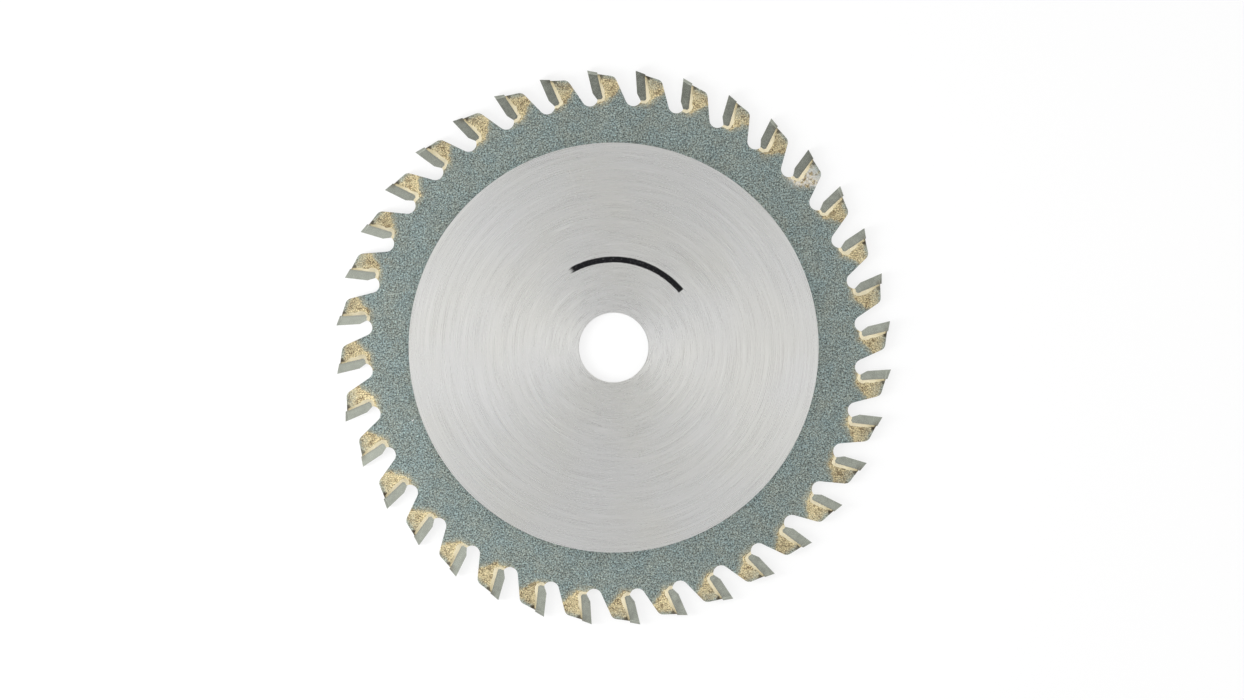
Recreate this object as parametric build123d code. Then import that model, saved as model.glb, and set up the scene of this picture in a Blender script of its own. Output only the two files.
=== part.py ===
"""Carbide-tipped circular saw blade: a ground steel plate with 36 brazed tips, in triple-chip form.

Lengths are in millimetres and angles in degrees. The blade lies flat: +Z is the arbor's axis, the origin is on
that axis at half the plate's thickness, and the first tooth points along +X. The teeth cut counter-clockwise
as seen from +Z. A tooth is drawn once, pointing along +X with +Y the way it cuts, and is then turned into place.
"""

from build123d import *
import math
import os

# Plate
BLADE_DIAMETER = 80.0  # over the cutting edges of the trapezoid teeth, which stand highest
BORE_DIAMETER = 10.0
BORE_CHAMFER = 0.1  # deburred edge, on each side
PLATE_THICKNESS = 1.0  # over the ground centre, where the flanges clamp
GROUND_DIAMETER = 59.0  # of the ground centre
BLAST_DEPTH = 0.02  # how far blasting leaves the outer ring below the ground centre, on each side
TOOTH_COUNT = 36

# Carbide tips
KERF = 1.5  # width of a tip at its cutting edge
TIP_LENGTH = 4.37  # from the highest cutting edge down to the tip's foot, along the radius
TIP_THICKNESS = 1.35  # from the cutting face to the back
TIP_CORNER_CHAMFER = 0.3  # between the back and the foot
HOOK_ANGLE = 8.0  # lean of the cutting face ahead of the radius
FACE_LENGTH = 3.35  # radial length of the cutting face, below which the gullet wheel has cut the tip back
TOP_CLEARANCE = 16.0
RADIAL_CLEARANCE = 1.5  # each side of a tip narrows by this angle towards the bore
TANGENTIAL_CLEARANCE = 2.5  # and by this angle towards the tip's back
FLAT_TOOTH_DROP = 0.1  # flat teeth stand this much lower than trapezoid teeth
TRAPEZOID_CHAMFER = 0.5  # ground off both top corners of a trapezoid tooth, at 45 degrees

# Tooth bodies and gullets
LAND_STEP = 0.15  # from the top of a flat tip's back down to the steel behind it
LAND_CLEARANCE = 13.0  # slope of the steel behind the tip
HEEL_RADIUS = 1.0  # between the land and the flank
FLANK_ANGLE = 29.0  # lean of a tooth's back flank from the radius through the gullet behind it
GULLET_RADIUS = 1.15
GULLET_DEPTH = 5.2  # from the highest cutting edge down to the gullet's floor

# Brazed joints
BRAZE_GAP = 0.07  # between a tip and its seat
BEAD_WIDTH_TOP = 0.2  # how far the bead on the plate's side reaches from the tip's back at the land
BEAD_WIDTH_CORNER = 0.6  # and from the tip's lower back corner
BEAD_WIDTH_GULLET = 0.3  # and from the tip's foot at the gullet
BEAD_CORNER_RADIUS = 0.9  # of the bead's outer edge, round the tip's lower back corner
BEAD_OVERLAP = 0.05  # how far inside the tip's outline the bead's sloping surface starts

BLADE_RADIUS = BLADE_DIAMETER / 2
FLAT_TOOTH_RADIUS = BLADE_RADIUS - FLAT_TOOTH_DROP
FOOT_RADIUS = BLADE_RADIUS - TIP_LENGTH
GULLET_CENTRE = BLADE_RADIUS - GULLET_DEPTH + GULLET_RADIUS
RING_HALF_THICKNESS = PLATE_THICKNESS / 2 - BLAST_DEPTH
PITCH_ANGLE = 360 / TOOTH_COUNT


def slope(angle):
    return math.tan(math.radians(angle))


# Directions along a tooth's sloping lines
BACK_DIRECTION = Vector(1, slope(HOOK_ANGLE))
TOP_DIRECTION = Vector(-slope(TOP_CLEARANCE), -1)
LAND_DIRECTION = Vector(-slope(LAND_CLEARANCE), -1)


def crossing(point, direction, other_point, other_direction):
    """Where the line through one point meets the line through another."""
    between = other_point - point
    share = between.cross(other_direction).Z / direction.cross(other_direction).Z
    return point + direction * share


def face_point(radius):
    """The point of the cutting face's line at this distance along the tooth."""
    return Vector(radius, (radius - BLADE_RADIUS) * slope(HOOK_ANGLE))


def back_point(radius, gap=0.0):
    """The point at this distance along the tooth on the tip's back, or on the line behind it by the gap."""
    return face_point(radius) - Vector(0, (TIP_THICKNESS + gap) / math.cos(math.radians(HOOK_ANGLE)))


def tip_corner(gap=0.0):
    """The ends of the chamfer at a tip's lower back corner, or on a line round the tip by the gap."""
    foot_radius = FOOT_RADIUS - gap
    on_foot = back_point(foot_radius, gap) + Vector(0, TIP_CORNER_CHAMFER)
    on_back = back_point(foot_radius + TIP_CORNER_CHAMFER, gap)
    return on_foot, on_back


def top_back_point(edge_radius):
    """The upper back corner of a tip whose cutting edge stands at this radius."""
    return crossing(face_point(edge_radius), TOP_DIRECTION, back_point(FOOT_RADIUS), BACK_DIRECTION)


def land_point(gap):
    """Where the land, or its line carried forward through the tip, meets the line behind the tip by the gap."""
    on_land = top_back_point(FLAT_TOOTH_RADIUS) - Vector(LAND_STEP, 0)
    return crossing(on_land, LAND_DIRECTION, back_point(FOOT_RADIUS, gap), BACK_DIRECTION)


def gullet_point(radius):
    """The point of the gullet's circle at this distance along the tooth, on the tip's side."""
    return Vector(radius, -math.sqrt(GULLET_RADIUS**2 - (radius - GULLET_CENTRE) ** 2))


def line_round_tip(gap):
    """A line that follows the tip at this gap: from the gullet along its foot and up its back to the land."""
    return Polyline(gullet_point(FOOT_RADIUS - gap), *tip_corner(gap), land_point(gap))


def tooth_lines():
    """One tooth's share of the plate's edge: the gullet ahead of it, its seat, its land and its back flank."""
    seat = line_round_tip(BRAZE_GAP)
    centre = Vector(GULLET_CENTRE, 0)
    flank_foot = centre + Vector(0, GULLET_RADIUS).rotate(Axis.Z, FLANK_ANGLE)
    gullet = ThreePointArc(flank_foot, centre - Vector(GULLET_RADIUS, 0), seat @ 0)

    own_flank_foot = flank_foot.rotate(Axis.Z, -PITCH_ANGLE)
    flank_direction = Vector(1, 0).rotate(Axis.Z, FLANK_ANGLE - PITCH_ANGLE)
    heel = crossing(seat @ 1, LAND_DIRECTION, own_flank_foot, flank_direction)
    land_and_flank = FilletPolyline(seat @ 1, heel, own_flank_foot, radius=HEEL_RADIUS)
    return [gullet, seat, land_and_flank]


def blade_body():
    """The plate: a blasted ring with the teeth, round a ground centre that stands proud of it and has the bore."""
    edges = []
    for number in range(TOOTH_COUNT):
        for line in tooth_lines():
            edges += (Rot(Z=-number * PITCH_ANGLE) * line).edges()
    ring = extrude(make_face(edges) - Circle(GROUND_DIAMETER / 2), RING_HALF_THICKNESS, both=True)
    centre = Cylinder(GROUND_DIAMETER / 2, PLATE_THICKNESS) - Cylinder(BORE_DIAMETER / 2, PLATE_THICKNESS)
    bore_edges = centre.edges().filter_by(GeomType.CIRCLE).group_by(SortBy.RADIUS)[0]
    return ring + chamfer(bore_edges, BORE_CHAMFER)


def side_plane():
    """One ground side of a tip, from a flat tooth's cutting corner in towards the bore and the tip's back."""
    corner = face_point(FLAT_TOOTH_RADIUS) + Vector(0, 0, KERF / 2)
    leaning = slope(RADIAL_CLEARANCE)
    normal = (-leaning, -slope(TANGENTIAL_CLEARANCE), 1)
    return Plane(origin=corner, x_dir=(1, 0, leaning), z_dir=normal)


def trapezoid_plane():
    """One 45 degree chamfer of a trapezoid tooth, running back along the tip's top."""
    normal = (1, -slope(TOP_CLEARANCE), 1)
    return Plane(origin=(BLADE_RADIUS, 0, KERF / 2 - TRAPEZOID_CHAMFER), z_dir=normal)


def grind_both_sides(solid, plane):
    """Grinds off what stands above the plane, turns the piece over and grinds its other side alike."""
    for _ in range(2):
        solid = mirror(split(solid, bisect_by=plane, keep=Keep.BOTTOM), about=Plane.XY)
    return solid


def carbide_tip(trapezoid):
    """A tip, ground on its face, top and sides. All tips share one seat, and trapezoid tips stand higher."""
    edge_radius = BLADE_RADIUS if trapezoid else FLAT_TOOTH_RADIUS
    outline = Polyline(
        face_point(edge_radius),
        face_point(BLADE_RADIUS - FACE_LENGTH),
        gullet_point(FOOT_RADIUS),
        *tip_corner(),
        top_back_point(edge_radius),
        close=True,
    )
    blank = extrude(make_face(outline), KERF / 2, both=True)
    tip = grind_both_sides(blank, side_plane())
    return grind_both_sides(tip, trapezoid_plane()) if trapezoid else tip


def bead_edge():
    """The bead's edge on the plate's side, from the gullet round the tip to the land."""
    start = gullet_point(FOOT_RADIUS - BEAD_WIDTH_GULLET)
    corner = back_point(FOOT_RADIUS - BEAD_WIDTH_CORNER, BEAD_WIDTH_CORNER)
    return FilletPolyline(start, corner, land_point(BEAD_WIDTH_TOP), radius=BEAD_CORNER_RADIUS)


def closed_through_tip(line):
    """The area between a line round the tip, a point inside the tip's top and a point in the gullet."""
    inside_top = land_point(-TIP_THICKNESS / 2)
    in_gullet = Vector(GULLET_CENTRE, -GULLET_RADIUS / 2)
    return make_face([line, Polyline(line @ 1, inside_top, in_gullet, line @ 0)])


def brazed_joint(tip, trapezoid):
    """The filler in one seat's gap, and its bead on both sides, sloping from the tip to the plate."""
    filling = extrude(closed_through_tip(line_round_tip(BRAZE_GAP)), RING_HALF_THICKNESS, both=True)
    on_plate = Pos(Z=RING_HALF_THICKNESS) * closed_through_tip(bead_edge())
    to_corner = Pos(-face_point(FLAT_TOOTH_RADIUS))
    on_tip = side_plane() * to_corner * closed_through_tip(line_round_tip(-BEAD_OVERLAP))
    bead = loft([on_plate, on_tip])
    joint = filling + bead + mirror(bead, about=Plane.XY)
    if trapezoid:
        joint = grind_both_sides(joint, trapezoid_plane())
    gullet = Pos(GULLET_CENTRE) * Cylinder(GULLET_RADIUS, KERF)
    return joint - tip - gullet


def main():
    os.makedirs("parts", exist_ok=True)
    export_step(blade_body(), "parts/blade_body.step")

    flat_tip, trapezoid_tip = carbide_tip(False), carbide_tip(True)
    shapes = [
        (flat_tip, brazed_joint(flat_tip, False)),
        (trapezoid_tip, brazed_joint(trapezoid_tip, True)),
    ]
    joints = []
    for number in range(TOOTH_COUNT):
        tip, joint = shapes[number % 2]
        turn = Rot(Z=number * PITCH_ANGLE)
        export_step(turn * tip, f"parts/carbide_tip_{number + 1:02d}.step")
        joints += (turn * joint).solids()
    export_step(Compound(joints), "parts/braze_joints.step")


main()
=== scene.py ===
"""Circular saw blade: rounded edges, brazed beads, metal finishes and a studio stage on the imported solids.

Lengths are in metres, and materials reckon in millimetres. The blade lies flat with its arbor's axis on Z.
A tooth's own frame has X along the tooth and Y the way it cuts. The first tooth's frame is the blade's own.
"""

import math

import bmesh
import bpy
from bpy.props import FloatProperty, FloatVectorProperty, IntProperty, PointerProperty
from mathutils import Matrix, Vector


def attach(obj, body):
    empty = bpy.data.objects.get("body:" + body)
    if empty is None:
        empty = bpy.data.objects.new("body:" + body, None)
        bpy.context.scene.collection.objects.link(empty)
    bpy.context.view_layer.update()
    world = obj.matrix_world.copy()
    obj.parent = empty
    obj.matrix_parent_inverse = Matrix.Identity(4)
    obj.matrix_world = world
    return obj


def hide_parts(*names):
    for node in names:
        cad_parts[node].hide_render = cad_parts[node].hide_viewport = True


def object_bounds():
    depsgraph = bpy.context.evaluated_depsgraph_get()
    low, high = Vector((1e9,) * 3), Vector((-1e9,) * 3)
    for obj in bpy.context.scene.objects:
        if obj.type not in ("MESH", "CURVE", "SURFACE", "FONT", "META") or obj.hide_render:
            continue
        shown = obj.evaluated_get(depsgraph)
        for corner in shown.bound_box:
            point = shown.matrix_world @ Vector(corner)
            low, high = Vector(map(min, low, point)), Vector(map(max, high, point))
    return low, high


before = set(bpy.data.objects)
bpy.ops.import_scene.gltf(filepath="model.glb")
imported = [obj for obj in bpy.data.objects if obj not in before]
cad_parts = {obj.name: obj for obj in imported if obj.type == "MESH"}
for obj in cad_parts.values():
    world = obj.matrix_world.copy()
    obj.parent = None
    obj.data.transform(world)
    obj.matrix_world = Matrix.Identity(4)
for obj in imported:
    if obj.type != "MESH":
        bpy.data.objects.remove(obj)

bl_info = {
    "name": "Circular saw blade",
    "version": (1, 0, 0),
    "blender": (4, 5, 0),
    "location": "View3D > Sidebar > Saw Blade",
    "description": "Dresses the solids of a carbide-tipped saw blade and sets up its studio stage",
    "category": "Object",
}

MM = 0.001
HAIR = 0.001 * MM  # what counts as the same place
CAD_BOX = [list(corner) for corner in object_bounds()]
TIP_NODES = sorted(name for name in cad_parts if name.startswith("carbide_tip_"))
TOOTH_COUNT = len(TIP_NODES)
PITCH_ANGLE = 2 * math.pi / TOOTH_COUNT
FLAT, TRAPEZOID = 0, 1  # the first tooth of each kind

# Sizes of the solids that their meshes don't give directly
HOOK_ANGLE = math.radians(8)
LAND_CLEARANCE = math.radians(13)
GULLET_RADIUS = 1.15 * MM
BRAZE_GAP = 0.07 * MM

# Fineness of the meshes
CIRCLE_STEPS = 360
ROUNDING_STEPS = 3
FOOT_STEPS, CORNER_STEPS, BACK_STEPS = 5, 8, 16  # of a bead, at the tip's foot, corner and back
SHARP_ANGLE = math.radians(35)  # from this angle between two faces, their edge isn't shaded smooth

# A bead's section: its height at each share of the way from the tip to the plate
BEAD_SECTION = {0: 1, 0.1: 0.97, 0.25: 0.84, 0.45: 0.62, 0.65: 0.39, 0.82: 0.19, 0.93: 0.07, 1: 0}
CREST_INSET = 0.05 * MM  # how far inside the tip's outline the bead is highest
HIDDEN_INSET = 0.12 * MM  # how far inside it the bead's inner edge is buried in the tip
CREST_HEIGHT = 0.008 * MM  # how far the bead's highest line stands over the tip's side
BURIED_DEPTH = 0.03 * MM  # how far its inner edge lies under that line
EDGE_SINK = 0.004 * MM  # how far its outer edge is sunk in the plate
SEAT_SINK = 0.02 * MM  # how far under the plate's side it turns in to the gap
LEAST_PLAY = 0.1  # share of its free movement that it keeps at the tip and at both its ends
PLAY_STEP = 0.2  # share that it gains with each step from an end


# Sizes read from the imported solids


def plan_radius(point):
    return math.hypot(point.x, point.y)


def merged_copy(node):
    """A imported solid's mesh with its loose triangles joined up and its flat faces made whole."""
    mesh = bmesh.new()
    mesh.from_mesh(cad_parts[node].data)
    bmesh.ops.remove_doubles(mesh, verts=mesh.verts, dist=HAIR / 10)
    bmesh.ops.dissolve_limit(mesh, angle_limit=math.radians(1), verts=mesh.verts, edges=mesh.edges)
    return mesh


def toothed_outline(height):
    """The plate's toothed edge in plan, as a counter-clockwise line of points."""
    mesh = merged_copy("blade_body")
    neighbours = {}
    for edge in mesh.edges:
        level = all(abs(vert.co.z - height) < HAIR for vert in edge.verts)
        outside = all(plan_radius(vert.co) > GROUND_RADIUS + MM for vert in edge.verts)
        between_side_and_wall = sorted(abs(face.normal.z) < 0.5 for face in edge.link_faces) == [False, True]
        if level and outside and between_side_and_wall:
            first, second = edge.verts
            neighbours.setdefault(first, []).append(second)
            neighbours.setdefault(second, []).append(first)
    start = next(iter(neighbours))
    line = [start, neighbours[start][0]]
    while len(line) < len(neighbours):
        line.append(next(vert for vert in neighbours[line[-1]] if vert is not line[-2]))
    points = [vert.co.xy.copy() for vert in line]
    mesh.free()
    twice_area = sum(a.cross(b) for a, b in zip(points, points[1:] + points[:1]))
    return points if twice_area > 0 else points[::-1]


def flat_tip_corners():
    """A flat tip's outline in plan, counter-clockwise from the chamfer's end on its foot."""
    mesh = merged_copy(TIP_NODES[FLAT])
    corners = [Vector(corner) for corner in {(round(v.co.x, 8), round(v.co.y, 8)) for v in mesh.verts}]
    mesh.free()
    middle = sum(corners, Vector((0, 0))) / len(corners)
    return sorted(corners, key=lambda corner: math.atan2(corner.y - middle.y, corner.x - middle.x))


PLATE_POINTS = [vertex.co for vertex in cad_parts["blade_body"].data.vertices]
GROUND_HEIGHT = max(point.z for point in PLATE_POINTS)
GROUND_RADIUS = max(plan_radius(point) for point in PLATE_POINTS if point.z > GROUND_HEIGHT - HAIR)
BORE_MOUTH_RADIUS = min(plan_radius(point) for point in PLATE_POINTS if point.z > GROUND_HEIGHT - HAIR)
BORE_RADIUS = min(plan_radius(point) for point in PLATE_POINTS)
BORE_WALL_HEIGHT = max(point.z for point in PLATE_POINTS if plan_radius(point) < BORE_RADIUS + HAIR)
RING_HEIGHT = abs(max(PLATE_POINTS, key=plan_radius).z)
OUTLINE = toothed_outline(RING_HEIGHT)
GULLET_CENTRE = min(point.length for point in OUTLINE) + GULLET_RADIUS
TIP_OUTLINE = flat_tip_corners()
BACK_CORNER, GULLET_FOOT = TIP_OUTLINE[1], TIP_OUTLINE[-1]
FIRST_TOOTH = [point for point in OUTLINE if abs(point.angle_signed(Vector((1, 0)))) < PITCH_ANGLE / 2]
SEAT_TOP = max(FIRST_TOOTH, key=lambda point: point.x)


def from_screen(red, green, blue):
    """A colour as a screen shows it, from 0 to 255, in the linear numbers of a shader."""
    return tuple(((value / 255 + 0.055) / 1.055) ** 2.4 for value in (red, green, blue))


# Sizes and colours that a user may change


def length(name, description, default):
    return FloatProperty(
        name=name, description=description, default=default, unit="LENGTH", subtype="DISTANCE"
    )


def angle(name, description, degrees):
    return FloatProperty(name=name, description=description, default=math.radians(degrees), subtype="ANGLE")


def colour(name, description, default):
    return FloatVectorProperty(
        name=name, description=description, default=default, size=3, min=0, max=1, subtype="COLOR"
    )


def strength(name, description, default):
    return FloatProperty(name=name, description=description, default=default, min=0)


class EdgeSizes(bpy.types.PropertyGroup):
    plate: length("Plate edges", "Radius worn onto the edges of the plate's teeth and gullets", 0.04 * MM)
    tip: length("Tip edges", "Radius honed onto the edges of a carbide tip", 0.012 * MM)
    step: length("Step", "Width of the slope from the ground centre down to the blasted ring", 0.04 * MM)


class BrazeSizes(bpy.types.PropertyGroup):
    width_land: length("Width at the land", "Reach of the bead from the tip's back at the land", 0.2 * MM)
    width_corner: length("Width at the corner", "Its reach from the tip's lower back corner", 0.6 * MM)
    width_gullet: length("Width at the gullet", "Its reach from the tip's foot at the gullet", 0.3 * MM)
    corner_radius: length("Corner radius", "Radius of the bead's edge round the tip's corner", 0.9 * MM)
    waviness: length("Waviness", "How far the solidified bead strays from its even line", 0.2 * MM)
    wave_size: length("Wave size", "Distance over which the bead strays", 1.0 * MM)
    seed: IntProperty(name="Seed", description="Picks another set of uneven beads", default=7)


class FinishColours(bpy.types.PropertyGroup):
    ring: colour("Blasted ring", "Colour of the blasted steel", from_screen(131, 142, 138))
    centre: colour("Ground centre", "Colour of the ground steel", from_screen(228, 228, 227))
    walls: colour("Cut walls", "Colour of the steel in the gullets and the bore", from_screen(170, 172, 168))
    carbide: colour("Carbide", "Colour of the ground carbide", from_screen(177, 181, 170))
    filler: colour("Brazing filler", "Colour of the bead", from_screen(245, 234, 202))
    heated: colour("Heated steel", "Straw colour that brazing left on the teeth", from_screen(208, 194, 154))
    scorched: colour("Scorched steel", "Brown where the flux burnt on", from_screen(118, 101, 74))
    grain: length("Blast grain", "Size of the pits that blasting left", 0.16 * MM)


class PrintSizes(bpy.types.PropertyGroup):
    radius: length("Radius", "Radius of the printed arc's middle", 12.65 * MM)
    width: length("Width", "Width of the printed arc", 0.87 * MM)
    start: angle("Start", "Where the arc starts, from the first tooth", 34.5)
    end: angle("End", "Where the arc ends", 115)
    ink: colour("Ink", "Colour of the ink", from_screen(18, 18, 21))


class StageSettings(bpy.types.PropertyGroup):
    floor: colour("Floor", "Colour of the floor", from_screen(250, 250, 250))
    zenith: strength("Light overhead", "Strength of the tent's light from above, past the softbox", 0.25)
    strip: strength("Long softbox", "Strength that the long softbox overhead adds", 1.92)
    horizon: strength("Light from the sides", "Strength of the tent's light from the sides", 0.92)
    contrast: strength("Side contrast", "Light added above and below the picture and taken beside it", 0.16)
    left: strength("Left softbox", "Power of the softbox on the left, in watts", 0.22)
    right: strength("Right softbox", "Power of the softbox on the right, in watts", 0.08)
    distance: length("Camera distance", "Height of the camera over the blade", 0.75)
    view_width: length("View width", "Width of the picture in the blade's plane", 178.9 * MM)
    turn: angle("Camera turn", "Turn of the camera round the arbor's axis", -5.48)


class SawBladeSettings(bpy.types.PropertyGroup):
    edges: PointerProperty(type=EdgeSizes)
    braze: PointerProperty(type=BrazeSizes)
    finish: PointerProperty(type=FinishColours)
    ink_arc: PointerProperty(type=PrintSizes)
    stage: PointerProperty(type=StageSettings)


# Lines in plan


def crossing(point, direction, other_point, other_direction):
    """Where the line through one point meets the line through another."""
    share = (other_point - point).cross(other_direction) / direction.cross(other_direction)
    return point + direction * share


def inset(line, distance):
    """A closed counter-clockwise line moved inwards by the distance, with its corners kept."""
    moved = []
    for before, point, after in zip(line[-1:] + line[:-1], line, line[1:] + line[:1]):
        sides = [(end - start).normalized() for start, end in ((before, point), (point, after))]
        inward = sum((Vector((-side.y, side.x)) for side in sides), Vector((0, 0)))
        moved.append(point + inward * (2 * distance / inward.length_squared))
    return moved


def along(start, end, steps):
    return [start.lerp(end, step / steps) for step in range(steps)]


def rounded_corner(before, corner, after, radius, steps):
    """The points of an arc that rounds off a corner, from its start to its end."""
    to_before, to_after = (before - corner).normalized(), (after - corner).normalized()
    half = to_before.angle(to_after) / 2
    centre = corner + (to_before + to_after).normalized() * (radius / math.sin(half))
    start = corner + to_before * (radius / math.tan(half)) - centre
    end = corner + to_after * (radius / math.tan(half)) - centre
    turn = -start.angle_signed(end)
    return [centre + Matrix.Rotation(turn * step / steps, 2) @ start for step in range(steps + 1)]


# Meshes


def bridge(mesh, upper, lower, material, smooth=True):
    """Joins two closed rows of vertices with quads."""
    for index in range(len(upper)):
        quad = upper[index - 1], lower[index - 1], lower[index], upper[index]
        face = mesh.faces.new(quad)
        face.material_index, face.smooth = material, smooth


def fill_between(mesh, outer, inner, material):
    """Fills the flat area between two closed rows of vertices."""
    rows = {frozenset((row[i - 1], row[i])) for row in (outer, inner) for i in range(len(row))}
    edges = [edge for edge in mesh.edges if frozenset(edge.verts) in rows]
    filled = bmesh.ops.triangle_fill(mesh, use_beauty=True, edges=edges, normal=(0, 0, 1))
    for face in filled["geom"]:
        if isinstance(face, bmesh.types.BMFace):
            face.material_index, face.smooth = material, False


def circle_row(mesh, radius, height):
    angles = [2 * math.pi * step / CIRCLE_STEPS for step in range(CIRCLE_STEPS)]
    return [mesh.verts.new((radius * math.cos(a), radius * math.sin(a), height)) for a in angles]


def plate_mesh(rounding, step_width):
    """The plate, with rounded edges round its teeth and a ground centre turned about the arbor's axis."""
    blasted, ground, cut = range(3)
    mesh = bmesh.new()
    edge_profile = []
    for step in range(ROUNDING_STEPS + 1):
        turn = math.pi / 2 * step / ROUNDING_STEPS
        edge_profile.append((rounding * (1 - math.sin(turn)), RING_HEIGHT - rounding * (1 - math.cos(turn))))
    edge_profile += [(distance, -height) for distance, height in reversed(edge_profile)]
    rim = []
    for distance, height in edge_profile:
        rim.append([mesh.verts.new((*point, height)) for point in inset(OUTLINE, distance)])
    for number, (upper, lower) in enumerate(zip(rim, rim[1:])):
        bridge(mesh, upper, lower, cut if number == ROUNDING_STEPS else blasted)

    centre_profile = [
        (GROUND_RADIUS, RING_HEIGHT),
        (GROUND_RADIUS - step_width, GROUND_HEIGHT),
        (BORE_MOUTH_RADIUS, GROUND_HEIGHT),
        (BORE_RADIUS, BORE_WALL_HEIGHT),
    ]
    centre_profile += [(radius, -height) for radius, height in reversed(centre_profile)]
    centre = [circle_row(mesh, radius, height) for radius, height in centre_profile]
    materials = [blasted, ground, ground, cut, ground, ground, blasted]
    for upper, lower, material in zip(centre, centre[1:], materials):
        bridge(mesh, upper, lower, material, smooth=material == cut)
    fill_between(mesh, rim[0], centre[0], blasted)
    fill_between(mesh, rim[-1], centre[-1], blasted)
    bmesh.ops.recalc_face_normals(mesh, faces=mesh.faces)
    return mesh


def packed_tip(number):
    """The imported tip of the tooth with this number, turned back into the first tooth's place."""
    mesh = merged_copy(TIP_NODES[number])
    turn_back = Matrix.Rotation(-number * PITCH_ANGLE, 3, "Z")
    bmesh.ops.rotate(mesh, verts=mesh.verts, cent=(0, 0, 0), matrix=turn_back)
    return mesh


def tip_mesh(number, rounding):
    """A ground tip in the first tooth's place, with honed edges and flat faces."""
    mesh = packed_tip(number)
    for face in mesh.faces:
        face.smooth = False
    bmesh.ops.bevel(
        mesh, geom=mesh.edges, offset=rounding, segments=2, profile=0.5, affect="EDGES", clamp_overlap=True
    )
    return mesh


def gullet_point(along_tooth):
    """The point of the gullet's circle at this distance along the tooth, on the tip's side."""
    return Vector((along_tooth, -math.sqrt(GULLET_RADIUS**2 - (along_tooth - GULLET_CENTRE) ** 2)))


def bead_lines(braze):
    """Lines in plan from the gullet round the tip's corner to the land.

    The first two lie inside the tip, the third follows its outline and the last one lies on the plate.
    """
    up_back = Vector((math.cos(HOOK_ANGLE), math.sin(HOOK_ANGLE)))
    behind = Vector((math.sin(HOOK_ANGLE), -math.cos(HOOK_ANGLE)))
    along_land = Vector((math.tan(LAND_CLEARANCE), 1))
    lines = []
    for depth in (HIDDEN_INSET, CREST_INSET, 0.0):
        foot_corner, back_corner, *_, gullet_foot = inset(TIP_OUTLINE, depth)
        at_land = crossing(SEAT_TOP, along_land, back_corner, up_back)
        line = along(gullet_foot, foot_corner, FOOT_STEPS) + along(foot_corner, back_corner, CORNER_STEPS)
        lines.append(line + along(back_corner, at_land, BACK_STEPS) + [at_land])

    start = gullet_point(GULLET_FOOT.x - braze.width_gullet)
    end = crossing(SEAT_TOP, along_land, BACK_CORNER + behind * braze.width_land, up_back)
    below_foot = Vector((GULLET_FOOT.x - braze.width_corner, 0))
    corner = crossing(below_foot, Vector((0, 1)), BACK_CORNER + behind * braze.width_corner, up_back)
    arc = rounded_corner(start, corner, end, braze.corner_radius, CORNER_STEPS)
    on_plate = along(start, arc[0], FOOT_STEPS) + arc[:-1] + along(arc[-1], end, BACK_STEPS) + [end]
    return *lines, on_plate


def upper_height(mesh, point):
    """Height of a tip's upper side over a point in plan. All its upper faces' planes stand above the tip."""
    over = [(face.calc_center_median(), face.normal) for face in mesh.faces if face.normal.z > 0.3]
    return min(centre.z - (point - centre.xy).dot(normal.xy) / normal.z for centre, normal in over)


def joint_mesh(tip, braze):
    """One brazed joint: the filler between tip and seat, and a bead on both sides that runs out on the plate.

    The layer named play holds how freely each vertex may stray, from 0 to 1.
    """
    mesh = bmesh.new()
    play = mesh.verts.layers.float.new("play")
    rows = []
    for hidden, crest, on_tip, on_plate in zip(*bead_lines(braze)):
        crest_height = upper_height(tip, crest) + CREST_HEIGHT
        profile = [(hidden, crest_height - BURIED_DEPTH, 0), (crest, crest_height, LEAST_PLAY)]
        for across, up in BEAD_SECTION.items():
            height = RING_HEIGHT - EDGE_SINK + (crest_height - RING_HEIGHT) * up
            profile.append((on_tip.lerp(on_plate, across), height, LEAST_PLAY + (1 - LEAST_PLAY) * across))
        in_seat = on_tip + (on_plate - on_tip).normalized() * BRAZE_GAP
        profile.append((in_seat, RING_HEIGHT - SEAT_SINK, 0))
        profile += [(point, -height, loose) for point, height, loose in reversed(profile)]
        row = []
        for point, height, loose in profile:
            vert = mesh.verts.new((*point, height))
            vert[play] = loose
            row.append(vert)
        rows.append(row)
    for row, next_row in zip(rows, rows[1:]):
        bridge(mesh, row, next_row, 0)
    for number, row in enumerate(rows):
        from_end = min(number, len(rows) - 1 - number)
        for vert in row:
            vert[play] *= min(1.0, LEAST_PLAY + PLAY_STEP * from_end)
    for row in (rows[0], rows[-1]):
        cap = mesh.faces.new(row)
        cap.smooth = False
        bmesh.ops.triangulate(mesh, faces=[cap])
    bmesh.ops.recalc_face_normals(mesh, faces=mesh.faces)
    return mesh


def finished_object(name, mesh, materials):
    """An object at the origin from a bmesh, shaded by its own faces."""
    for edge in mesh.edges:
        edge.smooth = edge.calc_face_angle(0.0) < SHARP_ANGLE
    data = bpy.data.meshes.new(name)
    mesh.to_mesh(data)
    mesh.free()
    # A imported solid's own normals don't fit the new faces
    if "custom_normal" in data.attributes:
        data.attributes.remove(data.attributes["custom_normal"])
    for material in materials:
        data.materials.append(material)
    piece = bpy.data.objects.new(name, data)
    bpy.context.scene.collection.objects.link(piece)
    return piece


# Arithmetic with nodes


def connect(value, socket):
    """Gives a node's input a field, another node's output or a plain value."""
    if isinstance(value, Field):
        value = value.socket
    if isinstance(value, bpy.types.NodeSocket):
        socket.id_data.links.new(value, socket)
    else:
        socket.default_value = value


def add_node(tree, kind, *inputs, **settings):
    """Adds a node, sets it up, fills its inputs and gives its outputs."""
    node = tree.nodes.new(kind)
    for name, value in settings.items():
        setattr(node, name, value)
    for socket, value in inputs:
        connect(value, node.inputs[socket])
    return node.outputs


def new_field(tree, kind, *inputs, output=0, **settings):
    """One output of a new node, as a field."""
    return Field(add_node(tree, kind, *inputs, **settings)[output])


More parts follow.
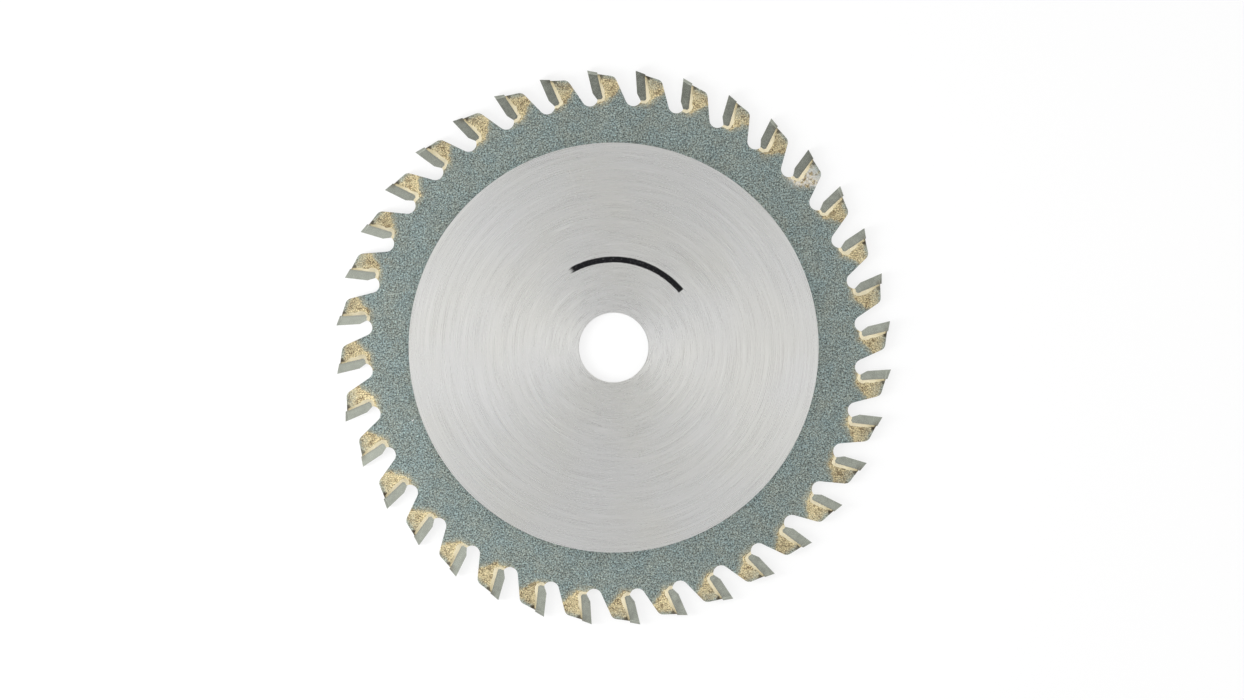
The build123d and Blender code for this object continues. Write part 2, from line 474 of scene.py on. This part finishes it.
class Field:
    """A number, vector or colour from a node's output. Arithmetic with it adds nodes to its tree."""

    def __init__(self, socket):
        self.socket = socket

    def node(self, kind, *inputs, **settings):
        return new_field(self.socket.id_data, kind, *inputs, **settings)

    def math(self, operation, *others):
        return self.node("ShaderNodeMath", *enumerate((self, *others)), operation=operation)

    def vector_math(self, operation, other):
        return self.node("ShaderNodeVectorMath", (0, self), (1, other), operation=operation)

    def __add__(self, other):
        return self.math("ADD", other)

    __radd__ = __add__

    def __sub__(self, other):
        return self.math("SUBTRACT", other)

    def __rsub__(self, other):
        return self.node("ShaderNodeMath", (0, other), (1, self), operation="SUBTRACT")

    def __mul__(self, other):
        return self.math("MULTIPLY", other)

    __rmul__ = __mul__

    def __truediv__(self, other):
        return self.math("DIVIDE", other)

    def __rtruediv__(self, other):
        return self.node("ShaderNodeMath", (0, other), (1, self), operation="DIVIDE")

    def __abs__(self):
        return self.math("ABSOLUTE")

    def at_least(self, other):
        return self.math("MAXIMUM", other)

    def swing(self, amount):
        """Random numbers from 0 to 1 made to swing round 0, by half the amount each way."""
        return (self - 0.5) * amount

    def rise(self, start, end):
        """From 0 at the start to 1 at the end, with soft ends. The start may be the higher of the two."""
        ends = (("From Min", start), ("From Max", end))
        return self.node("ShaderNodeMapRange", ("Value", self), *ends, interpolation_type="SMOOTHSTEP")

    def blend(self, first, second):
        """The first colour where this is 0 and the second where it is 1."""
        first, second = (value if isinstance(value, Field) else (*value, 1.0) for value in (first, second))
        return self.node("ShaderNodeMix", (0, self), (6, first), (7, second), output=2, data_type="RGBA")

    def scaled(self, factor):
        """This colour made brighter or darker, or this vector made longer or shorter."""
        return self.node("ShaderNodeVectorMath", (0, self), ("Scale", factor), operation="SCALE")


def plan_distance(x, y):
    """Distance in plan from the place where both are 0."""
    return (x * x + y * y).math("SQRT")


# Repeating round the blade

RING_INPUTS = {
    "Flat kind": "NodeSocketObject",
    "Trapezoid kind": "NodeSocketObject",
    "Count": "NodeSocketInt",
    "Waviness": "NodeSocketFloat",
    "Wave size": "NodeSocketFloat",
    "Seed": "NodeSocketInt",
    "Finish": "NodeSocketMaterial",
}


def ring_tree():
    """Node tree that sets two kinds of piece in turn round the blade and gives each its own uneven shape."""
    tree = bpy.data.node_groups.new("Ring of teeth", "GeometryNodeTree")
    for name, kind in RING_INPUTS.items():
        tree.interface.new_socket(name, in_out="INPUT", socket_type=kind)
    tree.interface.new_socket("Geometry", in_out="OUTPUT", socket_type="NodeSocketGeometry")
    outputs = add_node(tree, "NodeGroupInput")
    given = {name: Field(outputs[name]) for name in RING_INPUTS}

    points = new_field(tree, "GeometryNodePoints", ("Count", given["Count"]))
    number = new_field(tree, "GeometryNodeInputIndex")
    rotation = number.node("ShaderNodeCombineXYZ", ("Z", number * (2 * math.pi / given["Count"])))
    odd = number.math("MODULO", 2.0)
    joined = tree.nodes.new("GeometryNodeJoinGeometry")
    for kind, chosen in (("Flat kind", 1.0 - odd), ("Trapezoid kind", odd)):
        shape = new_field(tree, "GeometryNodeObjectInfo", ("Object", given[kind]), output="Geometry")
        places = (("Points", points), ("Selection", chosen), ("Rotation", rotation))
        placed = new_field(tree, "GeometryNodeInstanceOnPoints", *places, ("Instance", shape))
        connect(placed, joined.inputs[0])
    realized = new_field(tree, "GeometryNodeRealizeInstances", ("Geometry", joined.outputs[0]))

    play = new_field(tree, "GeometryNodeInputNamedAttribute", ("Name", "play"), data_type="FLOAT")
    place = new_field(tree, "GeometryNodeInputPosition")
    waves = (("Vector", place), ("W", given["Seed"]), ("Scale", 1.0 / given["Wave size"]), ("Detail", 2.0))
    noise = new_field(tree, "ShaderNodeTexNoise", *waves, output="Color", noise_dimensions="4D")
    both_ways = noise.vector_math("SUBTRACT", (0.5, 0.5, 0.5))
    mostly_level = both_ways.vector_math("MULTIPLY", (4.0, 4.0, 0.5))
    offset = mostly_level.scaled(play * given["Waviness"])
    moved = new_field(tree, "GeometryNodeSetPosition", ("Geometry", realized), ("Offset", offset))
    finish = (("Geometry", moved), ("Material", given["Finish"]))
    finished = new_field(tree, "GeometryNodeSetMaterial", *finish)
    add_node(tree, "NodeGroupOutput", ("Geometry", finished))
    return tree


def ring_of_teeth(name, flat, trapezoid, material, waviness=0.0, wave_size=MM, seed=0):
    """One plain mesh object with a piece at every tooth, the two kinds in turn."""
    tree = bpy.data.node_groups.get("Ring of teeth") or ring_tree()
    shapes = (("Flat kind", flat), ("Trapezoid kind", trapezoid))
    kinds = [finished_object(kind, mesh, [material]) for kind, mesh in shapes]
    base = bpy.data.objects.new(name, bpy.data.meshes.new(name))
    bpy.context.scene.collection.objects.link(base)
    modifier = base.modifiers.new("Ring of teeth", "NODES")
    modifier.node_group = tree
    values = {
        "Flat kind": kinds[0],
        "Trapezoid kind": kinds[1],
        "Count": TOOTH_COUNT,
        "Waviness": waviness,
        "Wave size": wave_size,
        "Seed": seed,
        "Finish": material,
    }
    for item in tree.interface.items_tree:
        if item.in_out == "INPUT":
            modifier[item.identifier] = values[item.name]
    evaluated = base.evaluated_get(bpy.context.evaluated_depsgraph_get())
    ring = bpy.data.meshes.new_from_object(evaluated)
    base.modifiers.remove(modifier)
    base.data = ring
    # With a kind's mesh goes its object
    for kind in kinds:
        bpy.data.meshes.remove(kind.data)
    return base


# Patterns on a surface


class Surface:
    """A metal's material in the making, with its coordinates on the blade in millimetres."""

    def __init__(self, name, metallic=1.0):
        self.material = bpy.data.materials.new(name)
        self.material.use_nodes = True
        self.tree = self.material.node_tree
        self.shader = self.tree.nodes["Principled BSDF"]
        self.set("Metallic", metallic)
        coordinates = self.field("ShaderNodeTexCoord", output="Object")
        scale = ("Scale", (1 / MM, 1 / MM, 1 / MM))
        self.place = self.field("ShaderNodeMapping", ("Vector", coordinates), scale)
        axes = add_node(self.tree, "ShaderNodeSeparateXYZ", (0, self.place))
        self.x, self.y, self.z = (Field(axis) for axis in axes)
        self.radius = plan_distance(self.x, self.y)
        self.angle = self.y.math("ARCTAN2", self.x)

    def set(self, socket, value):
        connect(value, self.shader.inputs[socket])

    def field(self, kind, *inputs, **settings):
        return new_field(self.tree, kind, *inputs, **settings)

    def vector(self, x, y, z):
        return self.field("ShaderNodeCombineXYZ", (0, x), (1, y), (2, z))

    def noise(self, size, place=None, detail=2.0, roughness=0.5, distortion=0.0):
        """Smooth random numbers from 0 to 1 with blots of about this size, in millimetres."""
        inputs = (
            ("Vector", place or self.place),
            ("Scale", 1 / size),
            ("Detail", detail),
            ("Roughness", roughness),
            ("Distortion", distortion),
        )
        return self.field("ShaderNodeTexNoise", *inputs)

    def specks(self, size):
        """Three unlike sets of rough random numbers from 0 to 1, the coarsest specks of about this size."""
        inputs = (("Vector", self.place), ("Scale", 1 / size), ("Detail", 4.0), ("Roughness", 0.75))
        colours = self.field("ShaderNodeTexNoise", *inputs, output="Color")
        return [Field(part) for part in add_node(self.tree, "ShaderNodeSeparateColor", (0, colours))]

    def relief(self, height, depth):
        """Gives the surface a fine relief of this depth in millimetres, from heights of 0 to 1."""
        self.set("Normal", self.field("ShaderNodeBump", ("Distance", depth * MM), ("Height", height)))

    def grooves_round_axis(self, amount):
        """Spreads highlights across grooves that run round the arbor's axis."""
        self.set("Anisotropic", amount)
        self.set("Tangent", self.vector(self.x / self.radius, self.y / self.radius, 0.0))

    def scratch(self, start, end, width):
        """A straight scratch between two places in plan, fading at its ends."""
        line = Vector(end) - Vector(start)
        way = line.normalized()
        x, y = self.x - start[0], self.y - start[1]
        lengthwise, across = x * way.x + y * way.y, abs(x * way.y - y * way.x)
        fading_in = lengthwise.rise(0.0, line.length / 3)
        fading_out = lengthwise.rise(line.length, line.length / 2)
        return across.rise(width, width / 4) * fading_in * fading_out

    def tooth_frame(self):
        """Place in the nearest tooth's own frame: along it, the way it cuts, and its number."""
        ahead = math.radians(0.3)  # a tooth's share of the circle ends this far ahead of its own line
        behind = (ahead - self.angle).math("FLOORED_MODULO", PITCH_ANGLE)
        local = ahead - behind
        number = ((self.angle - local) / PITCH_ANGLE).math("ROUND")
        return self.radius * local.math("COSINE"), self.radius * local.math("SINE"), number

    def random_by(self, number, shift=0.0):
        """A random number from 0 to 1 for each tooth, and another set of them for each shift."""
        seed = ("W", number + shift)
        return self.field("ShaderNodeTexWhiteNoise", seed, output="Value", noise_dimensions="1D")


# Finishes

BURNT = 17.0  # the set of random numbers for how burnt a tooth's corner is, on its steel and its bead alike


def toned(paint, *shares):
    """A colour times one share, or times a share for each of its red, green and blue."""
    return tuple(value * share for value, share in zip(paint, shares * (3 // len(shares))))


def behind_tip(along_tooth, cutting_way):
    """Distance from a tip's back, in millimetres, measured square to it."""
    lean = (along_tooth - BACK_CORNER.x / MM) * math.sin(HOOK_ANGLE)
    return lean - (cutting_way - BACK_CORNER.y / MM) * math.cos(HOOK_ANGLE)


def heat_marks(surface, finish, base):
    """Adds to a steel's colour what brazing left on the teeth, and tells where it shows.

    Straw and brown tints spread from the tips and pale near the land, and burnt flux sits behind a tip.
    """
    along_tooth, cutting_way, number = surface.tooth_frame()
    behind = behind_tip(along_tooth, cutting_way)
    foot = GULLET_FOOT.x / MM
    blots = surface.noise(0.8, detail=3.0, roughness=0.6)
    fine = surface.noise(0.16, detail=3.0, roughness=0.7)
    random = surface.random_by(number)
    rounded_line = foot - 0.45 + 0.78 * (behind - 0.3).at_least(0.0)
    limit = rounded_line + blots.swing(1.6) + random.swing(0.5)
    heated = (along_tooth - limit).rise(-0.25, 0.3)
    halo = (along_tooth - limit).rise(-0.9, 0.0) * 0.3

    dark, light, pale = surface.specks(0.18)
    mottle = blots.swing(2.4) + fine.swing(2.4) + dark.swing(6.0) + 0.5
    tint = mottle.rise(-0.2, 0.8).blend(finish.scorched, finish.heated)
    by_bead = behind.rise(1.1, 0.5) * 0.12
    by_tooth = surface.random_by(number, 23.0).swing(0.3)
    bright = 1.0 + fine.swing(1.5) + light.swing(4.0) + by_bead + by_tooth
    tint = tint.scaled(bright.at_least(0.25))
    tint = (pale.rise(0.62, 0.72) * 0.4).blend(tint, finish.filler)
    silvery = surface.random_by(number, 11.0).rise(0.93, 0.96) * blots.rise(0.35, 0.55) * 0.7
    tint = silvery.blend(tint, finish.centre)
    near_land = (along_tooth - cutting_way * 0.23 + blots.swing(0.9)).rise(38.7, 39.7) * 0.8
    faint = surface.random_by(number, 9.0) * (along_tooth + blots.swing(3.0)).rise(36.8, 38.8) * 0.55
    tinted = near_land.at_least(faint).blend(tint, base.scaled(1.08))
    shown = heated.at_least(halo)
    marked = shown.blend(base, tinted)

    corner_x, corner_y = along_tooth - (SEAT_TOP.x / MM - 0.22), cutting_way - (SEAT_TOP.y / MM - 0.2)
    from_corner = corner_x * corner_x + corner_y * corner_y * 0.6
    burnt = (from_corner + fine.swing(0.2)).rise(0.3, 0.06) * (0.6 + 0.4 * surface.random_by(number, BURNT))
    return burnt.blend(marked, toned(finish.scorched, 0.25)), shown


def blasted_steel(finish):
    """Pitted grey steel of the toothed ring, straw-coloured by heat on the teeth."""
    surface = Surface("Blasted steel", metallic=0.5)
    grain = finish.grain / MM
    pits = surface.noise(grain * 1.4, detail=3.0, roughness=0.7)
    one, two, three = surface.specks(grain)
    clouds = surface.noise(4.0, detail=3.0)
    bright = 1.0 + pits.swing(5.5) + one.swing(4.8) + clouds.swing(0.25)
    # Painted glints: bright specks added to the blasted steel's colour, standing in for highlights
    painted_glint = surface.noise(grain * 1.6, detail=1.0).rise(0.7, 0.78) + two.rise(0.64, 0.72)
    # The ring is made a little darker within 1.4 mm of the step up to the ground centre
    edge = (surface.radius - GROUND_RADIUS / MM).rise(1.4, 0.0) * -0.09
    cool, warm = toned(finish.ring, 0.9, 1.0, 1.08), toned(finish.ring, 1.1, 1.0, 0.92)
    hue = three + surface.noise(2.5, detail=3.0).swing(0.3)
    base = hue.rise(0.35, 0.65).blend(cool, warm).scaled(bright.at_least(0.25) + painted_glint * 1.2 + edge)
    rust = surface.noise(1.6, detail=4.0, roughness=0.7).rise(0.63, 0.8) * 0.4
    base = rust.blend(base, finish.scorched)
    coloured, shown = heat_marks(surface, finish, base)
    scuff = surface.scratch((-29.9, -7.8), (-29.5, -7.45), 0.1)
    surface.set("Base Color", scuff.blend(coloured, finish.centre))
    surface.set("Roughness", 0.7 - shown * 0.12 + pits.swing(0.2))
    surface.relief(pits + one * 0.6, 0.012)
    return surface.material


def ground_steel(finish, ink_arc):
    """Bright steel with fine grooves round the arbor's axis, and a printed arc in black ink."""
    surface = Surface("Ground steel")
    surface.set("Specular IOR Level", 0.1)
    across = surface.radius
    around_x, around_y = surface.x / across, surface.y / across
    fine_grooves = surface.vector(across * 10.0, around_x * 2.0, around_y * 2.0)
    fine = surface.noise(1.0, fine_grooves, detail=3.0, roughness=0.7)
    broad = surface.noise(1.0, surface.vector(across * 1.3, around_x * 2.0, around_y * 2.0), detail=2.0)
    off_centre = plan_distance(surface.x - 1.6, surface.y + 0.9)
    streaks = surface.noise(1.0, surface.vector(off_centre * 6.0, around_x * 1.3, around_y * 1.3), detail=3.0)
    lines = fine.swing(0.48) + broad.swing(0.08) + streaks.swing(0.12)
    dark_fleck = surface.noise(0.22, detail=1.0).rise(0.79, 0.83) * 0.15

    degrees = surface.angle * (180 / math.pi)
    ragged = surface.noise(0.3, detail=2.0).swing(0.1)
    reach = ink_arc.width / MM / 2
    band = (abs(across - ink_arc.radius / MM) + ragged).rise(reach + 0.05, reach - 0.05)
    from_start = (degrees - math.degrees(ink_arc.start)).rise(-0.25, 0.25)
    faded = (degrees - math.degrees(ink_arc.end) + streaks.swing(5.0)).rise(0.5, -3.5)
    upper = surface.z.math("GREATER_THAN", 0.0)
    pinholes = surface.noise(0.12, detail=1.0).rise(0.74, 0.68)
    ink = band * from_start * faded * upper * (pinholes * 0.3 + 0.7)

    steel = finish.centre
    base = surface.noise(14.0).rise(0.3, 0.7).blend(steel, toned(steel, 0.99, 0.985, 0.955))
    scratches = surface.scratch((-4.1, 27.5), (-3.2, 21.6), 0.07)
    scratches += surface.scratch((9.0, -17.5), (9.7, -15.2), 0.06)
    scratches += surface.scratch((-18.2, 9.0), (-16.4, 9.9), 0.06)
    base = base.scaled(1.0 + lines - dark_fleck + scratches * upper * 0.1)
    surface.set("Base Color", ink.blend(base, ink_arc.ink))
    surface.set("Metallic", 1.0 - ink)
    surface.set("Roughness", 0.28 + lines * 0.2 + ink * 0.2)
    surface.relief(fine + streaks * 0.6, 0.0012)
    surface.grooves_round_axis(0.6)
    return surface.material


def cut_steel(finish):
    """Walls of the gullets, lands and bore, with fine lines through the plate's thickness."""
    surface = Surface("Cut steel")
    lines = surface.noise(1.0, surface.vector(surface.x * 9.0, surface.y * 9.0, surface.z * 1.1), detail=3.0)
    blots = surface.noise(0.7, detail=3.0)
    steel = finish.walls
    base = blots.rise(0.3, 0.7).blend(steel, toned(steel, 0.8)).scaled(0.78 + lines * 0.45)
    along_tooth, cutting_way, _ = surface.tooth_frame()
    heated = (along_tooth + blots.swing(3.0)).rise(35.8, 38.0) * (0.3 + lines * 0.6)
    surface.set("Base Color", heated.blend(base, finish.heated).scaled(0.6 + lines * 0.5))
    surface.set("Roughness", 0.34 + lines * 0.2)
    surface.relief(lines, 0.008)
    return surface.material


def ground_carbide(finish):
    """Dense grey carbide with fine grinding lines, a little stained where the filler ran beside it."""
    surface = Surface("Ground carbide")
    along_tooth, cutting_way, number = surface.tooth_frame()
    across_grain = along_tooth * 14.0 + cutting_way * 3.0
    grinding = surface.vector(across_grain, cutting_way * 1.2, surface.z * 3.0 + number * 7.0)
    lines = surface.noise(1.0, grinding, detail=3.0, roughness=0.6)
    clouds = surface.noise(0.9, detail=2.0)
    bright = 1.0 + lines.swing(0.35) + clouds.swing(0.4) + surface.random_by(number).swing(0.16)
    behind = behind_tip(along_tooth, cutting_way)
    stained = (behind + clouds.swing(0.5)).rise(-0.45, 0.0) * 0.3
    near_top = (along_tooth + clouds.swing(0.8)).rise(38.5, 39.3) * behind.rise(-1.0, -0.1)
    stained = stained.at_least(near_top * surface.random_by(number, 5.0).rise(0.2, 0.9) * 0.8)
    # Painted shade: near a tip's top, its chamfered corners and top face are made darker, as their slopes
    # show darker under the light
    painted_corner_shade = abs(surface.z).rise(0.7, 0.64) * along_tooth.rise(39.35, 39.45) * behind.rise(-1.34, -1.3)
    bright -= painted_corner_shade * 0.25
    carbide = finish.carbide
    brown = tuple((value + burnt) * 0.36 for value, burnt in zip(carbide, finish.scorched))
    surface.set("Base Color", stained.blend(carbide, brown).scaled(bright))
    surface.set("Roughness", 0.16 + lines.swing(0.1) + clouds.swing(0.05))
    surface.relief(lines, 0.0005)
    surface.grooves_round_axis(0.5)
    return surface.material


def brazed_filler(finish):
    """Pale brassy filler, wrinkled where it froze and browner towards the plate."""
    surface = Surface("Brazed filler")
    along_tooth, cutting_way, number = surface.tooth_frame()
    behind = behind_tip(along_tooth, cutting_way)
    wrinkles = surface.noise(0.22, detail=3.0, roughness=0.6, distortion=0.4)
    blots = surface.noise(0.6, detail=2.0)
    up_the_back = (along_tooth + blots.swing(1.5)).rise(37.0, 38.9) * 0.65
    outward = (behind + wrinkles.swing(0.4)).rise(0.4, 0.8) * 0.08
    tinted = up_the_back.at_least(outward).blend(finish.filler, finish.heated)
    bright = 1.0 + wrinkles.swing(0.3) + surface.random_by(number, 3.0).swing(0.1)
    burnt = (along_tooth + wrinkles.swing(0.5)).rise(38.95, 39.25)
    burnt *= 0.4 + 0.6 * surface.random_by(number, BURNT)
    surface.set("Base Color", burnt.blend(tinted, toned(finish.scorched, 0.4)).scaled(bright))
    surface.set("Roughness", 0.42 + wrinkles.swing(0.3))
    surface.relief(wrinkles, 0.02)
    return surface.material


def paper_floor(colour_of_floor):
    """Pale paper that the camera and reflections see as white, and that keeps the blade's shadow."""
    material = bpy.data.materials.new("Pale paper")
    material.use_nodes = True
    tree = material.node_tree
    shader = tree.nodes["Principled BSDF"]
    place = new_field(tree, "ShaderNodeTexCoord", output="Object")
    fibres = place.node("ShaderNodeTexNoise", ("Vector", place), ("Scale", 900.0), ("Detail", 4.0))
    mottled = fibres.rise(0.3, 0.7).blend(colour_of_floor, toned(colour_of_floor, 0.995))
    connect(mottled, shader.inputs["Base Color"])
    connect(0.9, shader.inputs["Roughness"])
    rays = add_node(tree, "ShaderNodeLightPath")
    whiteness = Field(rays["Is Camera Ray"]).at_least(rays["Is Glossy Ray"]) * 0.75
    white = new_field(tree, "ShaderNodeEmission", ("Color", (1.0, 1.0, 1.0, 1.0)), ("Strength", 1.0))
    shares = ((0, whiteness), (1, shader.outputs[0]), (2, white))
    mixed = new_field(tree, "ShaderNodeMixShader", *shares)
    connect(mixed, tree.nodes["Material Output"].inputs["Surface"])
    return material


# Stage

FLOOR_HALF_WIDTH = 1.5
FLOOR_GAP = 0.01 * MM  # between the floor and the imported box
PICTURE_MIDDLE = (1.2 * MM, -0.36 * MM)  # from the blade's centre, to the picture's right and up the picture

# Places overhead, as shares of a direction from the blade: to the picture's right, and up the picture
SOFTBOX_LEAN = 0.064  # how far the long softbox sinks down the picture on its way to the right
SOFTBOX_SHIFT = 0.027  # and how far down the picture it is over the blade's centre
SOFTBOX_EDGES = 0.242, 0.02  # how far from its middle line it begins to shine and is at its brightest
CARD_CENTRE = 0.047, -0.017
CARD_REACH = 0.223, 0.095
CARD_DARKNESS = 0.92


def light_tent(stage):
    """A tent lit from the sides, dimmer near the floor and overhead, where a long softbox runs behind a card.

    The camera itself sees the tent as white.
    """
    world = bpy.data.worlds.new("Light tent")
    world.use_nodes = True
    tree = world.node_tree
    direction = new_field(tree, "ShaderNodeTexCoord", output="Generated")
    direction = direction.node("ShaderNodeVectorRotate", (0, direction), ("Angle", -stage.turn))
    right, up, height = (Field(axis) for axis in add_node(tree, "ShaderNodeSeparateXYZ", (0, direction)))
    sides = (up * up - right * right) * stage.contrast + stage.horizon
    sides *= height.rise(0.0, 0.35) * 0.4 + 0.6
    overhead = height.rise(0.8, 0.96)
    from_middle_line = abs(up + right * SOFTBOX_LEAN + SOFTBOX_SHIFT)
    strip = from_middle_line.rise(*SOFTBOX_EDGES) * overhead
    light = sides + overhead * (stage.zenith - sides) + strip * stage.strip
    card_x, card_y = (right - CARD_CENTRE[0]) / CARD_REACH[0], (up - CARD_CENTRE[1]) / CARD_REACH[1]
    light *= 1.0 - CARD_DARKNESS * (card_x * card_x + card_y * card_y).rise(1.6, 0.2)
    camera_ray = new_field(tree, "ShaderNodeLightPath", output="Is Camera Ray")
    connect(light + camera_ray * (1.0 - light), tree.nodes["Background"].inputs["Strength"])
    tree.nodes["Background"].inputs["Color"].default_value = (1.0, 1.0, 1.0, 1.0)
    bpy.context.scene.world = world


def softbox(name, place, width, depth, power):
    """A rectangular lamp aimed at the blade's centre, which doesn't show in polished metal."""
    lamp = bpy.data.lights.new(name, "AREA")
    lamp.shape, lamp.size, lamp.size_y, lamp.energy = "RECTANGLE", width, depth, power
    holder = bpy.data.objects.new(name, lamp)
    holder.location = place
    holder.rotation_euler = (-Vector(place)).to_track_quat("-Z", "Y").to_euler()
    holder.visible_glossy = False
    bpy.context.scene.collection.objects.link(holder)


def overhead_camera(stage):
    """A long lens straight above the blade, which lies a little left of and above the picture's centre."""
    data = bpy.data.cameras.new("Overhead camera")
    data.sensor_width = 36.0
    data.lens = data.sensor_width * stage.distance / stage.view_width
    camera = bpy.data.objects.new("Overhead camera", data)
    turn = Matrix.Rotation(stage.turn, 3, "Z")
    camera.location = turn @ Vector((*PICTURE_MIDDLE, stage.distance))
    camera.rotation_euler = turn.to_euler()
    bpy.context.scene.collection.objects.link(camera)
    bpy.context.scene.camera = camera


# Operators


class SAWBLADE_OT_plate(bpy.types.Operator):
    """Build the steel plate with worn edges, its blasted ring, ground centre and printed arc"""

    bl_idname = "sawblade.plate"
    bl_label = "Steel Plate"

    def execute(self, context):
        settings = context.scene.saw_blade
        materials = [
            blasted_steel(settings.finish),
            ground_steel(settings.finish, settings.ink_arc),
            cut_steel(settings.finish),
        ]
        mesh = plate_mesh(settings.edges.plate, settings.edges.step)
        plate = finished_object("steel_plate", mesh, materials)
        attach(plate, "root")
        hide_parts("blade_body")
        return {"FINISHED"}


class SAWBLADE_OT_tips(bpy.types.Operator):
    """Build the carbide tips, flat and trapezoid in turn, and set one on each tooth"""

    bl_idname = "sawblade.tips"
    bl_label = "Carbide Tips"

    def execute(self, context):
        settings = context.scene.saw_blade
        rounding = settings.edges.tip
        flat, trapezoid = tip_mesh(FLAT, rounding), tip_mesh(TRAPEZOID, rounding)
        tips = ring_of_teeth("ground_tips", flat, trapezoid, ground_carbide(settings.finish))
        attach(tips, "root")
        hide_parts(*TIP_NODES)
        return {"FINISHED"}


class SAWBLADE_OT_joints(bpy.types.Operator):
    """Build the brazed joints with their uneven beads round the tips"""

    bl_idname = "sawblade.joints"
    bl_label = "Brazed Joints"

    def execute(self, context):
        settings = context.scene.saw_blade
        braze = settings.braze
        joints = []
        for number in (FLAT, TRAPEZOID):
            tip = packed_tip(number)
            tip.normal_update()
            joints.append(joint_mesh(tip, braze))
            tip.free()
        filler = brazed_filler(settings.finish)
        waves = (braze.waviness, braze.wave_size, braze.seed)
        beads = ring_of_teeth("brazed_beads", *joints, filler, *waves)
        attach(beads, "root")
        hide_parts("braze_joints")
        return {"FINISHED"}


class SAWBLADE_OT_stage(bpy.types.Operator):
    """Set up the pale floor, the light tent with two softboxes and the camera above the blade"""

    bl_idname = "sawblade.stage"
    bl_label = "Studio Stage"

    def execute(self, context):
        stage = context.scene.saw_blade.stage
        mesh = bmesh.new()
        bmesh.ops.create_grid(mesh, x_segments=1, y_segments=1, size=FLOOR_HALF_WIDTH)
        bmesh.ops.translate(mesh, verts=mesh.verts, vec=(0, 0, CAD_BOX[0][2] - FLOOR_GAP))
        finished_object("paper_floor", mesh, [paper_floor(stage.floor)])
        light_tent(stage)
        turn = Matrix.Rotation(stage.turn, 3, "Z")
        left, right = turn @ Vector((-0.12, -0.03, 0.05)), turn @ Vector((0.34, -0.1, 0.18))
        softbox("Left softbox", left, width=0.05, depth=0.16, power=stage.left)
        softbox("Right softbox", right, width=0.2, depth=0.3, power=stage.right)
        overhead_camera(stage)
        context.scene.view_settings.view_transform = "Standard"
        return {"FINISHED"}


class SAWBLADE_PT_panel(bpy.types.Panel):
    """Lists the blade's pieces and the sizes and colours that they take"""

    bl_idname = "SAWBLADE_PT_panel"
    bl_label = "Circular Saw Blade"
    bl_space_type = "VIEW_3D"
    bl_region_type = "UI"
    bl_category = "Saw Blade"

    def draw(self, context):
        settings = context.scene.saw_blade
        groups = (
            (SAWBLADE_OT_plate, (settings.edges, settings.finish, settings.ink_arc)),
            (SAWBLADE_OT_tips, ()),
            (SAWBLADE_OT_joints, (settings.braze,)),
            (SAWBLADE_OT_stage, (settings.stage,)),
        )
        for operator, property_groups in groups:
            box = self.layout.box()
            box.operator(operator.bl_idname)
            for group in property_groups:
                for name in group.bl_rna.properties.keys():
                    if name not in {"rna_type", "name"}:
                        box.prop(group, name)


CLASSES = (
    EdgeSizes,
    BrazeSizes,
    FinishColours,
    PrintSizes,
    StageSettings,
    SawBladeSettings,
    SAWBLADE_OT_plate,
    SAWBLADE_OT_tips,
    SAWBLADE_OT_joints,
    SAWBLADE_OT_stage,
    SAWBLADE_PT_panel,
)


def register():
    for item in CLASSES:
        bpy.utils.register_class(item)
    bpy.types.Scene.saw_blade = PointerProperty(type=SawBladeSettings)


def unregister():
    del bpy.types.Scene.saw_blade
    for item in reversed(CLASSES):
        bpy.utils.unregister_class(item)


def main():
    register()
    bpy.ops.sawblade.plate()
    bpy.ops.sawblade.tips()
    bpy.ops.sawblade.joints()
    bpy.ops.sawblade.stage()


if __name__ == "__main__":
    main()
